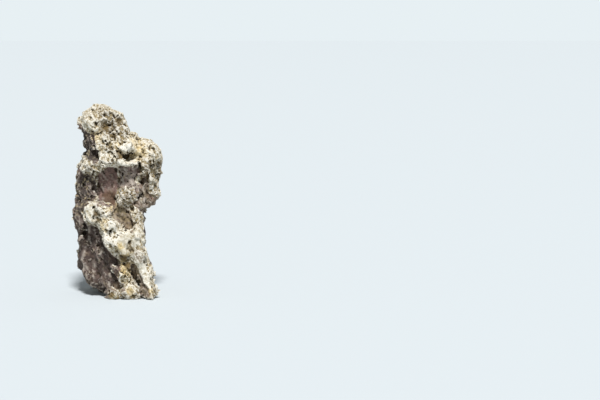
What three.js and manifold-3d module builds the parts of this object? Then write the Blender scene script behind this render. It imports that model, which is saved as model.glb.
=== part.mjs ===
// A tall aquascaping stone, one piece of weathered limestone that stands on its broken foot.
// Millimetres, +Z up, -Y is the side that faces the viewer, origin under the middle of its box.
//
// The stone is described as a field that is negative inside the rock: a trunk of changing outline,
// lumps added to it, hollows and broken faces taken from it, then weathering. The field's zero
// surface is meshed on a grid, and a flat cut through the foot gives the face that it stands on.

import * as THREE from 'three';
import { ImprovedNoise } from 'three/addons/math/ImprovedNoise.js';
import { mergeVertices } from 'three/addons/utils/BufferGeometryUtils.js';
import Module from 'manifold-3d';

// Driving dimensions
const HEIGHT = 217;
const HALF_WIDTH = 56;
const HALF_DEPTH = 48;
const CELL = 5;
const FOOT_ALLOWANCE = 8;

// Outline of the trunk: pairs of height and place, from the foot to the crown
const LEFT_EDGE = [
  [0, -26], [10, -33], [24, -42], [37, -50], [47, -50], [62, -47], [73, -49], [84, -53], [95, -53],
  [103, -49], [112, -51], [126, -49], [140, -49], [148, -44], [157, -37], [164, -34], [170, -36],
  [176, -38], [185, -37], [192, -39], [204, -40], [211, -38], [216, -31], [220, -26],
];
const RIGHT_EDGE = [
  [0, 38], [22, 37], [36, 33], [47, 29], [54, 26], [64, 24], [90, 24], [110, 26], [140, 30], [165, 34],
  [176, 34], [181, 26], [187, 16], [195, 10], [204, 3], [212, -5], [217, -16], [220, -22],
];
const FRONT_EDGE = [
  [0, -37], [14, -38], [60, -37], [88, -35], [101, -30], [110, -24], [146, -23], [152, -25], [164, -25],
  [174, -23], [190, -22], [206, -17], [216, -10], [220, -3],
];
const BACK_EDGE = [
  [0, 30], [16, 36], [44, 38], [80, 35], [112, 37], [140, 32], [168, 29], [190, 23], [206, 17],
  [216, 9], [220, 2],
];
const TRUNK_SQUARENESS = 2.7;

// What the trunk gains and loses, in this order: lumps of rock, breaks, the crust that overhangs the
// breaks, and pits. at is the centre and size the half lengths. tilt turns the shape clockwise as the
// viewer sees it and yaw turns it about the vertical, a higher square makes it more like a block, and
// blend is the width of its join with the rock around it. bare is how free of crust a cut is
const LUMPS = [
  { part: 'column', at: [37, -2, 147], size: [10.5, 18, 30], tilt: 0, yaw: -8, square: 3.4, blend: 3 },
  { part: 'column head', at: [35.5, -3, 158], size: [12, 16, 8.5], tilt: 18, yaw: 0, square: 2.8, blend: 3 },
  { part: 'column shoulder', at: [27, 0, 167], size: [13, 15, 10], tilt: 22, yaw: 0, square: 2.8, blend: 4 },
  { part: 'column leg', at: [33, -10, 118], size: [5, 11, 18], tilt: -3, yaw: 0, square: 3, blend: 3 },
  { part: 'column root', at: [38, -5, 112], size: [8.5, 13, 15], tilt: 32, yaw: 0, square: 3, blend: 3 },
  { part: 'crown', at: [-18, -10, 197], size: [19, 14, 20], tilt: -10, yaw: 0, square: 2.3, blend: 5 },
  { part: 'crown right', at: [-4, -9, 187], size: [13.5, 14, 14], tilt: 42, yaw: 0, square: 2.4, blend: 5 },
  { part: 'crown front', at: [-13, -19, 188], size: [14, 9, 13], tilt: 20, yaw: 0, square: 2.5, blend: 4 },
  { part: 'right strip', at: [24, -23, 98], size: [5, 8, 26], tilt: 0, yaw: 0, square: 3, blend: 3 },
  { part: 'wall foot', at: [-13, -27, 22], size: [7, 10, 20], tilt: -20, yaw: 40, square: 3, blend: 4 },
  { part: 'wall fringe', at: [-26, -17, 29], size: [8, 11, 17], tilt: -10, yaw: 48, square: 3, blend: 4 },
  { part: 'left flank', at: [-39, -3, 42], size: [8, 15, 18], tilt: 8, yaw: 34, square: 3, blend: 3 },
  { part: 'left knuckle', at: [-45, 0, 86], size: [7, 11, 11], tilt: 0, yaw: 0, square: 3.2, blend: 3 },
  { part: 'left edge', at: [-39, -3, 124], size: [7.5, 12, 20], tilt: 3, yaw: 0, square: 3, blend: 4 },
  { part: 'back buttress', at: [-20, 31, 56], size: [15, 11, 50], tilt: 10, yaw: 18, square: 3.2, blend: 5 },
  { part: 'back rib', at: [13, 30, 92], size: [11, 11, 46], tilt: -8, yaw: -14, square: 3.2, blend: 5 },
  { part: 'back foot', at: [14, 29, 22], size: [16, 12, 22], tilt: 12, yaw: 0, square: 3.2, blend: 4 },
  { part: 'back shelf', at: [-20, 22, 158], size: [16, 11, 17], tilt: -14, yaw: 12, square: 3.2, blend: 4 },
  { part: 'back knob', at: [8, 17, 180], size: [11, 8, 9], tilt: 0, yaw: 0, square: 2.6, blend: 3 },
];
const BREAKS = [
  { part: 'broken face', at: [-9, -39, 128], size: [14, 17, 24], tilt: 4, yaw: 8, square: 4, blend: 1.5, bare: 1 },
  { part: 'grey face', at: [15, -39, 134], size: [12.5, 16, 17.5], tilt: 0, yaw: -12, square: 4, blend: 1.5, bare: 1 },
  { part: 'left recess', at: [-29, -35, 122], size: [8, 15, 16], tilt: 4, yaw: -28, square: 3, blend: 2, bare: 1 },
  { part: 'neck', at: [-49, -12, 167], size: [12, 23, 9], tilt: -8, yaw: 8, square: 2.4, blend: 4, bare: 0.8 },
  { part: 'neck pocket', at: [-26, -29, 165], size: [6, 11, 7], tilt: 0, yaw: 0, square: 2.4, blend: 2, bare: 0.8 },
  { part: 'column corner', at: [47.5, -2, 178.5], size: [15, 30, 8], tilt: 43, yaw: 0, square: 4, blend: 2, bare: 0 },
  { part: 'crack', at: [28.5, -25, 141], size: [2.8, 11, 20], tilt: -2, yaw: 0, square: 2.6, blend: 1.5, bare: 1 },
  { part: 'under the column', at: [54, -12, 100], size: [14, 30, 23], tilt: 36, yaw: 0, square: 3, blend: 2, bare: 1 },
  { part: 'right flank', at: [45, 3, 80], size: [13, 26, 21], tilt: 0, yaw: -6, square: 4, blend: 3, bare: 1 },
  { part: 'wall top', at: [-29, -40, 66], size: [12, 14, 22], tilt: -34, yaw: -34, square: 4, blend: 1.5, bare: 1 },
  { part: 'wall', at: [-27, -38, 44], size: [20, 14, 27], tilt: -26, yaw: -37, square: 4, blend: 2, bare: 1 },
  { part: 'flank groove', at: [-37, -24, 80], size: [4, 10, 22], tilt: 4, yaw: 10, square: 2.6, blend: 2, bare: 1 },
  { part: 'under the flank', at: [-42, -16, 4], size: [22, 21, 13], tilt: 22, yaw: -34, square: 3, blend: 2, bare: 1 },
  { part: 'under the fringe', at: [-20, -32, -2], size: [11, 17, 17], tilt: 6, yaw: 0, square: 2.6, blend: 2, bare: 1 },
  { part: 'back hollow', at: [-8, 40, 134], size: [14, 15, 13], tilt: -12, yaw: 0, square: 3, blend: 2, bare: 1 },
  { part: 'back right break', at: [48, 32, 92], size: [17, 18, 50], tilt: -4, yaw: 42, square: 4, blend: 2, bare: 1 },
  { part: 'back left break', at: [-52, 34, 108], size: [15, 18, 30], tilt: 6, yaw: -42, square: 4, blend: 2, bare: 1 },
  { part: 'back low break', at: [-22, 47, 44], size: [17, 12, 24], tilt: 22, yaw: -10, square: 4, blend: 2, bare: 1 },
  { part: 'left cleft', at: [-54, 16, 96], size: [9, 6, 34], tilt: 4, yaw: 0, square: 3, blend: 2, bare: 0.6 },
  { part: 'right step', at: [37, 12, 62], size: [10, 22, 6], tilt: 0, yaw: 8, square: 3, blend: 2, bare: 0.8 },
  { part: 'right corner', at: [50, 30, 44], size: [14, 24, 32], tilt: 4, yaw: 30, square: 3, blend: 3, bare: 0.7 },
];
const CRUST = [
  { part: 'awning', at: [-6, -24, 162], size: [12.5, 9, 12], tilt: 14, yaw: 0, square: 2.8, blend: 3 },
  { part: 'awning left', at: [-19, -22, 152], size: [11, 8, 7], tilt: -28, yaw: 14, square: 2.8, blend: 3 },
  { part: 'left crust', at: [-30.5, -16, 150], size: [7.5, 10, 10.5], tilt: 34, yaw: 24, square: 2.8, blend: 3 },
  { part: 'left crust low', at: [-24, -20, 145], size: [7, 7, 6], tilt: 0, yaw: 20, square: 2.6, blend: 3 },
  { part: 'knob', at: [13.5, -25, 170.5], size: [8.5, 9, 5.5], tilt: -8, yaw: 0, square: 3.2, blend: 1.5 },
  { part: 'ledge', at: [16, -25, 156], size: [11.5, 9, 4], tilt: -3, yaw: 0, square: 3.4, blend: 1.5 },
  { part: 'middle crust', at: [11, -26, 116], size: [12, 6, 7], tilt: -8, yaw: 0, square: 2.8, blend: 3 },
  { part: 'ridge head', at: [-28.8, -31, 98.5], size: [7, 9, 13], tilt: 6, yaw: 12, square: 3, blend: 3 },
  { part: 'ridge top', at: [-14, -32, 97], size: [11, 11, 12], tilt: 40, yaw: 0, square: 3, blend: 3 },
  { part: 'ridge middle', at: [-4, -36, 79], size: [8.5, 11, 15], tilt: -34, yaw: 0, square: 3, blend: 3 },
  { part: 'ridge tail', at: [4, -37, 60], size: [8, 10, 17], tilt: -30, yaw: 0, square: 3, blend: 3 },
  { part: 'fan', at: [18, -30, 67], size: [11, 11, 15], tilt: -20, yaw: -12, square: 3, blend: 4 },
  { part: 'leg top', at: [26, -31, 50], size: [10, 11, 7], tilt: 8, yaw: -12, square: 3.2, blend: 2.5 },
  { part: 'leg', at: [33, -36, 27], size: [6.8, 10, 27], tilt: -15, yaw: -16, square: 3.6, blend: 2.5 },
  { part: 'middle foot', at: [18, -40, 6], size: [7.5, 9, 9.5], tilt: -6, yaw: 0, square: 3.6, blend: 2 },
  { part: 'toe', at: [0, -39, 4], size: [10.5, 9, 7.5], tilt: 6, yaw: 0, square: 3, blend: 2.5 },
  { part: 'lobe', at: [4, -37, 29], size: [7.5, 9, 12], tilt: -22, yaw: 0, square: 2.6, blend: 2.5 },
];
const PITS = [
  { part: 'under the knob', at: [10.5, -30, 163.5], size: [8.5, 12, 5.5], tilt: 34, yaw: 0, square: 2.2, blend: 2, bare: 0.4 },
  { part: 'channel', at: [27, -23, 166], size: [4, 8, 9], tilt: 28, yaw: 0, square: 2.2, blend: 2, bare: 0 },
  { part: 'crown pit', at: [-10, -28, 197], size: [6, 10, 4.5], tilt: -35, yaw: 0, square: 2.2, blend: 1.5, bare: 0 },
  { part: 'crown pit', at: [-27, -27, 208], size: [4, 8, 5], tilt: 10, yaw: 0, square: 2.2, blend: 1.5, bare: 0 },
  { part: 'crown pit', at: [0, -25, 204], size: [4, 8, 5], tilt: 30, yaw: 0, square: 2.2, blend: 1.5, bare: 0 },
  { part: 'crown pit', at: [-5, -29, 183], size: [5, 8, 3.5], tilt: -20, yaw: 0, square: 2.2, blend: 1.5, bare: 0 },
  { part: 'crown pit', at: [-19, -30, 183], size: [3.5, 8, 4.5], tilt: 20, yaw: 0, square: 2.2, blend: 1.5, bare: 0 },
  { part: 'eye', at: [9, -41, 91], size: [18, 18, 8], tilt: 50, yaw: 0, square: 2.4, blend: 1.5, bare: 1 },
  { part: 'upper cavity', at: [10.5, -44, 46.5], size: [6.5, 12, 5.5], tilt: 10, yaw: 0, square: 2.2, blend: 1.5, bare: 0.5 },
  { part: 'middle cavity', at: [8, -44, 38], size: [5, 10, 4], tilt: -10, yaw: 0, square: 2.2, blend: 1.5, bare: 0.5 },
  { part: 'lower cavity', at: [17, -44, 25], size: [5.5, 14, 8], tilt: 8, yaw: 0, square: 2.4, blend: 1.5, bare: 0.5 },
  { part: 'leg shadow', at: [24.5, -44, 23], size: [3.8, 12, 18], tilt: -18, yaw: 0, square: 2.6, blend: 1.5, bare: 1 },
  { part: 'lobe hollow', at: [5, -45, 14], size: [6, 9, 3.6], tilt: 14, yaw: 0, square: 2.2, blend: 1.5, bare: 1 },
  { part: 'foot arch', at: [6, 0, -6], size: [24, 19, 12], tilt: 0, yaw: 0, square: 2.6, blend: 3, bare: 1 },
  { part: 'back step', at: [3, 48, 92], size: [27, 13, 7], tilt: -22, yaw: 4, square: 2.8, blend: 2, bare: 0.5 },
  { part: 'back pocket', at: [-12, 45, 74], size: [9, 11, 12], tilt: 24, yaw: 0, square: 2.4, blend: 2, bare: 0.5 },
];

// Weathering: how far each kind reaches in or out, and the size of its features
const WARP = { reach: 4, wavelength: 26 };
const SWELL = { reach: 4.5, wavelength: 34 };
const ROUGH = { reach: 3.4, wavelength: 15 };
const SCALLOPS = { depth: 4.2, radius: 9.5, spacing: 13 };

const perlin = new ImprovedNoise();
const noise = (x, y, z, wavelength) => perlin.noise(x / wavelength, y / wavelength, z / wavelength);

// Value at height z of a list of [height, value] pairs
function along(pairs, z) {
  const above = pairs.findIndex((pair) => pair[0] > z);
  if (above <= 0) return above === 0 ? pairs[0][1] : pairs[pairs.length - 1][1];
  const [z0, v0] = pairs[above - 1];
  const [z1, v1] = pairs[above];
  return THREE.MathUtils.mapLinear(z, z0, z1, v0, v1);
}

// Union and cut with a rounded join of the given width
function smoothUnion(a, b, width) {
  const overlap = Math.max(width - Math.abs(a - b), 0) / width;
  return Math.min(a, b) - (overlap * overlap * width) / 4;
}
const smoothCut = (rock, hollow, width) => -smoothUnion(-rock, hollow, width);

function trunk(x, y, z) {
  const left = along(LEFT_EDGE, z);
  const right = along(RIGHT_EDGE, z);
  const front = along(FRONT_EDGE, z);
  const back = along(BACK_EDGE, z);
  const u = (x - (left + right) / 2) / ((right - left) / 2);
  const v = (y - (front + back) / 2) / ((back - front) / 2);
  const n = TRUNK_SQUARENESS;
  const reach = (Math.abs(u) ** n + Math.abs(v) ** n) ** (1 / n);
  const sides = (reach - 1) * Math.min(right - left, back - front) * 0.5;
  return Math.max(sides, z - HEIGHT);
}

// Turns each lump and hollow into a function of a point
function blob({ at, size, tilt, yaw, square }) {
  const turn = new THREE.Euler(0, THREE.MathUtils.degToRad(tilt), THREE.MathUtils.degToRad(yaw), 'ZYX');
  const toLocal = new THREE.Matrix4().makeRotationFromEuler(turn).transpose();
  const centre = new THREE.Vector3(...at);
  const least = Math.min(...size);
  const p = new THREE.Vector3();
  return (x, y, z) => {
    p.set(x, y, z).sub(centre).applyMatrix4(toLocal);
    const a = Math.abs(p.x / size[0]) ** square;
    const b = Math.abs(p.y / size[1]) ** square;
    const c = Math.abs(p.z / size[2]) ** square;
    return ((a + b + c) ** (1 / square) - 1) * least;
  };
}
const [lumps, breaks, crust, pits] = [LUMPS, BREAKS, CRUST, PITS].map((list) =>
  list.map((shape) => ({ ...shape, distance: blob(shape) })),
);

// Scallops that meet in sharp crests, as running water leaves them: one for each cell of a grid, away
// from its middle by chance
function scallops(x, y, z) {
  const { depth, radius, spacing } = SCALLOPS;
  const home = [x, y, z].map((value) => Math.floor(value / spacing));
  const jitter = (i, j, k, salt) => 0.5 + perlin.noise(i * 0.71 + salt, j * 0.83 + salt, k * 0.67 + salt);
  let nearest = Infinity;
  for (let i = home[0] - 1; i <= home[0] + 1; i++)
    for (let j = home[1] - 1; j <= home[1] + 1; j++)
      for (let k = home[2] - 1; k <= home[2] + 1; k++) {
        const dx = x - (i + jitter(i, j, k, 0.3)) * spacing;
        const dy = y - (j + jitter(i, j, k, 7.1)) * spacing;
        const dz = z - (k + jitter(i, j, k, 3.7)) * spacing;
        nearest = Math.min(nearest, Math.hypot(dx, dy, dz));
      }
  return depth * (0.55 - Math.min(nearest / radius, 1));
}

function stoneField(x, y, z) {
  const wx = x + WARP.reach * noise(x, y, z, WARP.wavelength);
  const wy = y + WARP.reach * noise(y + 31, z, x, WARP.wavelength);
  const wz = z + WARP.reach * noise(z, x + 57, y, WARP.wavelength);
  let rock = trunk(wx, wy, z);
  let bare = 0;
  const near = (gap) => 1 - THREE.MathUtils.smoothstep(gap, -1, 2.5);
  const join = (shapes) => {
    for (const shape of shapes) {
      const gap = shape.distance(wx, wy, wz);
      bare *= 1 - near(gap);
      rock = smoothUnion(rock, gap, shape.blend);
    }
  };
  const cut = (shapes) => {
    for (const shape of shapes) {
      const gap = shape.distance(wx, wy, wz);
      bare = Math.max(bare, shape.bare * near(gap));
      rock = smoothCut(rock, gap, shape.blend);
    }
  };
  join(lumps);
  rock += SWELL.reach * noise(x, y + 9, z, SWELL.wavelength);
  cut(breaks);
  join(crust);
  cut(pits);
  rock += ROUGH.reach * noise(x, y, z + 17, ROUGH.wavelength) * (1 - 0.7 * bare);
  rock += scallops(wx, wy, wz) * (1 - bare);
  return Math.max(rock, -FOOT_ALLOWANCE - z);
}

// Meshes the zero surface of a field: one vertex in each cell that the surface crosses, and one
// four-sided face across each grid edge that it crosses
function meshField(field, low, high, cell) {
  const [nx, ny, nz] = low.map((value, axis) => Math.ceil((high[axis] - value) / cell) + 1);
  const at = (i, j, k) => (k * ny + j) * nx + i;
  const strides = [1, nx, nx * ny];
  const values = new Float64Array(nx * ny * nz);
  for (let k = 0; k < nz; k++)
    for (let j = 0; j < ny; j++)
      for (let i = 0; i < nx; i++)
        values[at(i, j, k)] = field(low[0] + i * cell, low[1] + j * cell, low[2] + k * cell);
  fillDoubtfulCells(values, [nx, ny, nz], at);

  const corners = [0, 1, 2, 3, 4, 5, 6, 7].map((c) => [c & 1, (c >> 1) & 1, (c >> 2) & 1]);
  const edges = [];
  for (let a = 0; a < 8; a++)
    for (let bit = 1; bit < 8; bit <<= 1) if (!(a & bit)) edges.push([a, a | bit]);

  const vertexOf = new Map();
  const positions = [];
  const crossing = new THREE.Vector3();
  const vertex = new THREE.Vector3();
  const push = new THREE.Vector3();
  const slope = new THREE.Vector3();
  const step = cell * 0.1;
  const slopeAt = (p, out) =>
    out
      .set(
        field(p.x + step, p.y, p.z) - field(p.x - step, p.y, p.z),
        field(p.x, p.y + step, p.z) - field(p.x, p.y - step, p.z),
        field(p.x, p.y, p.z + step) - field(p.x, p.y, p.z - step),
      )
      .normalize();

  for (let k = 0; k < nz - 1; k++)
    for (let j = 0; j < ny - 1; j++)
      for (let i = 0; i < nx - 1; i++) {
        const corner = corners.map(([a, b, c]) => values[at(i + a, j + b, k + c)]);
        const crossed = edges.filter(([a, b]) => corner[a] < 0 !== corner[b] < 0);
        if (!crossed.length) continue;
        const planes = crossed.map(([a, b]) => {
          const share = corner[a] / (corner[a] - corner[b]);
          crossing.set(
            low[0] + (i + THREE.MathUtils.lerp(corners[a][0], corners[b][0], share)) * cell,
            low[1] + (j + THREE.MathUtils.lerp(corners[a][1], corners[b][1], share)) * cell,
            low[2] + (k + THREE.MathUtils.lerp(corners[a][2], corners[b][2], share)) * cell,
          );
          return { point: crossing.clone(), normal: slopeAt(crossing, slope).clone() };
        });
        vertex.set(0, 0, 0);
        for (const { point } of planes) vertex.addScaledVector(point, 1 / planes.length);
        const middle = vertex.clone();
        for (let turn = 0; turn < 8; turn++) {
          push.set(0, 0, 0);
          for (const { point, normal } of planes)
            push.addScaledVector(normal, normal.dot(crossing.subVectors(point, vertex)) / planes.length);
          vertex.add(push);
        }
        const limit = cell * 0.55;
        vertex.sub(middle).clampLength(0, limit).add(middle);
        vertexOf.set(at(i, j, k), positions.length / 3);
        positions.push(vertex.x, vertex.y, vertex.z);
      }

  const indices = [];
  const sides = [[1, 2], [2, 0], [0, 1]];
  for (let k = 1; k < nz - 1; k++)
    for (let j = 1; j < ny - 1; j++)
      for (let i = 1; i < nx - 1; i++)
        for (let axis = 0; axis < 3; axis++) {
          const here = at(i, j, k);
          const inside = values[here] < 0;
          if (inside === values[here + strides[axis]] < 0) continue;
          const [u, v] = sides[axis].map((side) => strides[side]);
          const ring = [here - u - v, here - v, here, here - u].map((cellAt) => vertexOf.get(cellAt));
          if (!inside) ring.reverse();
          const [a, b, c, d] = ring;
          const span = (p, q) => Math.hypot(...[0, 1, 2].map((n) => positions[3 * p + n] - positions[3 * q + n]));
          if (span(a, c) < span(b, d)) indices.push(a, b, c, a, c, d);
          else indices.push(a, b, d, b, c, d);
        }
  return new THREE.BufferGeometry()
    .setAttribute('position', new THREE.Float32BufferAttribute(positions, 3))
    .setIndex(indices);
}

// Corners of a grid cell are numbered by the bits of x, y and z. A cell is doubtful if two sheets of
// surface would meet at its vertex or along one of its sides: then the empty corner that is nearest
// to being rock is filled with rock, until no cell is doubtful
function fillDoubtfulCells(values, [nx, ny, nz], at) {
  const all = [0, 1, 2, 3, 4, 5, 6, 7];
  const faces = [1, 2, 4].flatMap((bit) => [0, bit].map((side) => all.filter((c) => (c & bit) === side)));
  const inPieces = (wanted) => {
    const members = all.filter((c) => wanted[c]);
    const reached = new Set(members.slice(0, 1));
    for (const c of reached) for (const bit of [1, 2, 4]) if (wanted[c ^ bit]) reached.add(c ^ bit);
    return reached.size < members.length;
  };
  const doubtfulCorners = (rock) => {
    const face = faces.find(([a, b, c, d]) => rock[a] === rock[d] && rock[b] === rock[c] && rock[a] !== rock[b]);
    if (face) return face;
    return inPieces(rock) || inPieces(rock.map((full) => !full)) ? all : [];
  };
  let changed = true;
  while (changed) {
    changed = false;
    for (let k = 0; k < nz - 1; k++)
      for (let j = 0; j < ny - 1; j++)
        for (let i = 0; i < nx - 1; i++) {
          const spots = all.map((c) => at(i + (c & 1), j + ((c >> 1) & 1), k + ((c >> 2) & 1)));
          const rock = spots.map((spot) => values[spot] < 0);
          const empty = doubtfulCorners(rock).filter((c) => !rock[c]);
          if (!empty.length) continue;
          empty.sort((a, b) => values[spots[a]] - values[spots[b]]);
          values[spots[empty[0]]] = -0.01;
          changed = true;
        }
  }
}

const wasm = await Module();
wasm.setup();

function solidFrom(geometry) {
  return new wasm.Manifold(
    new wasm.Mesh({
      numProp: 3,
      vertProperties: new Float32Array(geometry.attributes.position.array),
      triVerts: new Uint32Array(geometry.index.array),
    }),
  );
}

function geometryFrom(solid) {
  const mesh = solid.getMesh();
  return new THREE.BufferGeometry()
    .setAttribute('position', new THREE.Float32BufferAttribute(mesh.vertProperties, 3))
    .setIndex(new THREE.BufferAttribute(mesh.triVerts, 1));
}

// Weathering and the cut can leave crumbs that hang on nothing: only the largest body is kept
function largestBody(geometry) {
  const { position } = geometry.attributes;
  const corners = Array.from(geometry.index.array);
  const parent = Array.from({ length: position.count }, (_, vertex) => vertex);
  const rootOf = (vertex) => {
    while (parent[vertex] !== vertex) vertex = parent[vertex] = parent[parent[vertex]];
    return vertex;
  };
  for (let n = 0; n < corners.length; n += 3) {
    parent[rootOf(corners[n])] = rootOf(corners[n + 1]);
    parent[rootOf(corners[n])] = rootOf(corners[n + 2]);
  }
  const tally = new Map();
  for (const corner of corners) tally.set(rootOf(corner), (tally.get(rootOf(corner)) ?? 0) + 1);
  const [largest] = [...tally].sort((a, b) => b[1] - a[1])[0];
  const kept = corners.filter((corner) => rootOf(corner) === largest);
  return new THREE.BufferGeometry().setAttribute('position', position).setIndex(kept);
}

const MARGIN = 2 * FOOT_ALLOWANCE;
const weathered = solidFrom(
  meshField(
    stoneField,
    [-HALF_WIDTH - MARGIN, -HALF_DEPTH - MARGIN, -MARGIN],
    [HALF_WIDTH + MARGIN, HALF_DEPTH + MARGIN, HEIGHT + MARGIN],
    CELL,
  ),
);

// The foot is cut off level, which leaves flat pads around the arch under the stone
const ground = new THREE.BoxGeometry(4 * HALF_WIDTH, 4 * HALF_DEPTH, 2 * MARGIN).translate(0, 0, -MARGIN);
const standing = weathered.subtract(solidFrom(mergeVertices(ground.deleteAttribute('normal').deleteAttribute('uv'))));

const geometry = largestBody(geometryFrom(standing));
geometry.computeBoundingBox();
const middle = geometry.boundingBox.getCenter(new THREE.Vector3());
geometry.translate(-middle.x, -middle.y, -geometry.boundingBox.min.z);

const stone = new THREE.Mesh(geometry, new THREE.MeshStandardMaterial({ color: 0xc9bd9f, roughness: 0.95 }));
stone.name = 'stone';

const part = new THREE.Group();
part.name = 'seiryu_stone';
part.add(stone);

export default part;
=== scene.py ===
import itertools
import math

import bmesh
import bpy
import numpy as np
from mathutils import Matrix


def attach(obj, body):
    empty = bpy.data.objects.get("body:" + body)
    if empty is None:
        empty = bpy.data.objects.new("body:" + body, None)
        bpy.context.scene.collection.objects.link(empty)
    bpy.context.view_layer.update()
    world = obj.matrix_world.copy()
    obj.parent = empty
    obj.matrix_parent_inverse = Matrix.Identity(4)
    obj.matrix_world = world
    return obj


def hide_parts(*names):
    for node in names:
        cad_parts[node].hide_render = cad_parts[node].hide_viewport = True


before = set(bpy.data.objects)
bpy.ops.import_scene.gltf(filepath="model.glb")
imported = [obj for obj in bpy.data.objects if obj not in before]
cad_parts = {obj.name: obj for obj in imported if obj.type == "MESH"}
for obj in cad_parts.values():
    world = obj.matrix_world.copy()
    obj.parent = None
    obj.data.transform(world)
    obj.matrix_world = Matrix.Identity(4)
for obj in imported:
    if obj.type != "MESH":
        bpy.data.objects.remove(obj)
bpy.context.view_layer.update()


# The stone's body: one tall block of dense, purple-grey limestone, broken out of a bed, that stands
# on its foot by its own weight. The solid is copied, its flat facets are rounded off, and it is
# meshed finely enough to take the crust and the pits that weather has given it.
MM = 0.001
X, Y, Z = 0, 1, 2
ROUGHING_CELL = 1.0
FACET_SMOOTHING = 8

stone = bpy.data.objects.new("limestone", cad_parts["stone"].data.copy())
bpy.context.scene.collection.objects.link(stone)


def remesh(obj, cell):
    """Meshes obj again with even faces of that size in millimetres."""
    modifier = obj.modifiers.new("even faces", "REMESH")
    modifier.mode = "VOXEL"
    modifier.voxel_size = cell * MM
    settle(obj)


def settle(obj):
    """Makes the work of obj's modifiers permanent."""
    shaped = bpy.data.meshes.new_from_object(obj.evaluated_get(bpy.context.evaluated_depsgraph_get()))
    obj.modifiers.clear()
    obj.data = shaped


def places(mesh):
    """Each vertex's place in millimetres."""
    flat = np.empty(len(mesh.vertices) * 3)
    mesh.vertices.foreach_get("co", flat)
    return flat.reshape(-1, 3) / MM


def outward(mesh):
    """Each vertex's outward direction."""
    flat = np.empty(len(mesh.vertices) * 3)
    mesh.vertices.foreach_get("normal", flat)
    return flat.reshape(-1, 3)


def put_places(mesh, points):
    """Moves each vertex to its place in millimetres."""
    mesh.vertices.foreach_set("co", (points * MM).ravel())
    mesh.update()


def links(mesh):
    """The two vertices that each edge joins."""
    flat = np.empty(len(mesh.edges) * 2, dtype=np.int64)
    mesh.edges.foreach_get("vertices", flat)
    return flat.reshape(-1, 2)


def relax(values, pairs, rounds, share=0.5):
    """Draws each vertex's value towards its neighbours' mean."""
    count = len(values)
    number = np.bincount(pairs.ravel(), minlength=count)[:, None]
    for _ in range(rounds):
        total = np.empty_like(values)
        for axis in range(values.shape[1]):
            one_way = np.bincount(pairs[:, 0], values[pairs[:, 1], axis], count)
            other_way = np.bincount(pairs[:, 1], values[pairs[:, 0], axis], count)
            total[:, axis] = one_way + other_way
        values = values + share * (total / number - values)
    return values


remesh(stone, ROUGHING_CELL)
block = relax(places(stone.data), links(stone.data), FACET_SMOOTHING)
put_places(stone.data, block)


# The broken faces: where the block has split, its dense inside shows dark and purple-brown. Each
# outline goes round one face as a viewer on that side sees it: millimetres across and up. Across is
# x for the front and the back, and y for the sides.
BROKEN_FACES = {
    "front": {
        "tall face": [(-21, 140), (-16, 145), (-12, 148), (-4, 150), (3, 147), (4, 138), (6, 128),
                      (3, 122), (2, 113), (-1, 105), (-13, 105), (-21, 109), (-22, 126)],
        "grey face": [(3, 148), (10, 153), (19, 151), (27, 149), (29, 141), (25, 137), (25, 131),
                      (31, 127), (30, 112), (24, 111), (22, 126), (18, 127), (10, 126), (5, 123),
                      (4, 138)],
        "left wall": [(-59, 98), (-38, 98), (-35, 88), (-31, 82), (-27, 85), (-22, 81), (-16, 73),
                      (-12, 66), (-9, 58), (-6, 53), (1, 48), (5, 43), (6, 36), (6, 28), (3, 19),
                      (-5, 12), (-8, 6), (-8, -4), (-59, -4)],
        "flank": [(-59, 148), (-45, 144), (-40, 144), (-36, 140), (-31, 139), (-28, 137), (-24, 136),
                  (-21, 140), (-20, 118), (-23, 112), (-31, 109), (-36, 103), (-38, 97), (-59, 97)],
        "eye": [(-2, 104), (6, 105), (14, 101), (19, 93), (21, 84), (21, 76), (14, 79), (6, 85),
                (-1, 91), (-4, 98)],
        "leg shadow": [(20, 40), (25, 37), (30, 28), (35, 18), (40, 9), (40, 3), (31, 4), (25, 15),
                       (19, 24), (16, 33)],
        "column root": [(30, 134), (34, 137), (37, 131), (38, 122), (40, 114), (41, 106), (37, 100),
                        (34, 97), (31, 105), (29, 117)],
        "neck": [(-49, 199), (-40, 198), (-34, 193), (-28, 188), (-26, 180), (-25, 173), (-23, 169),
                 (-19, 168), (-18, 158), (-22, 155), (-29, 157), (-35, 159), (-49, 164)],
        "lobe hollow": [(-2, 20), (4, 18), (12, 16), (11, 10), (3, 9), (-4, 12)],
    },
    "left": {
        "wall end": [(-44, 74), (-32, 78), (-27, 97), (-14, 94), (4, 100), (12, 78), (6, 52), (14, 30),
                     (8, -4), (-50, -4)],
        "flank end": [(-30, 146), (-14, 141), (2, 149), (16, 138), (12, 118), (20, 106), (4, 101),
                      (-30, 100)],
        "neck end": [(-34, 194), (-22, 189), (-6, 194), (10, 184), (22, 170), (12, 158), (-8, 162),
                     (-34, 160)],
    },
    "right": {
        "long break": [(2, 118), (18, 126), (30, 114), (38, 88), (34, 54), (42, 24), (34, 6), (16, 4),
                       (20, 16), (9, 27), (11, 40), (-3, 50), (-5, 62), (7, 71), (9, 84), (-2, 95),
                       (5, 106)],
        "under the column": [(-30, 108), (-12, 114), (4, 110), (0, 100), (-10, 94), (-26, 100)],
    },
    "back": {
        "great break": [(-39, 122), (-21, 134), (-1, 128), (13, 138), (29, 124), (37, 96), (25, 62),
                        (31, 34), (19, 4), (-9, -4), (-25, 12), (-19, 44), (-33, 66), (-29, 96)],
        "crown back": [(-33, 186), (-17, 192), (-5, 178), (-13, 164), (-31, 166)],
    },
}

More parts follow.
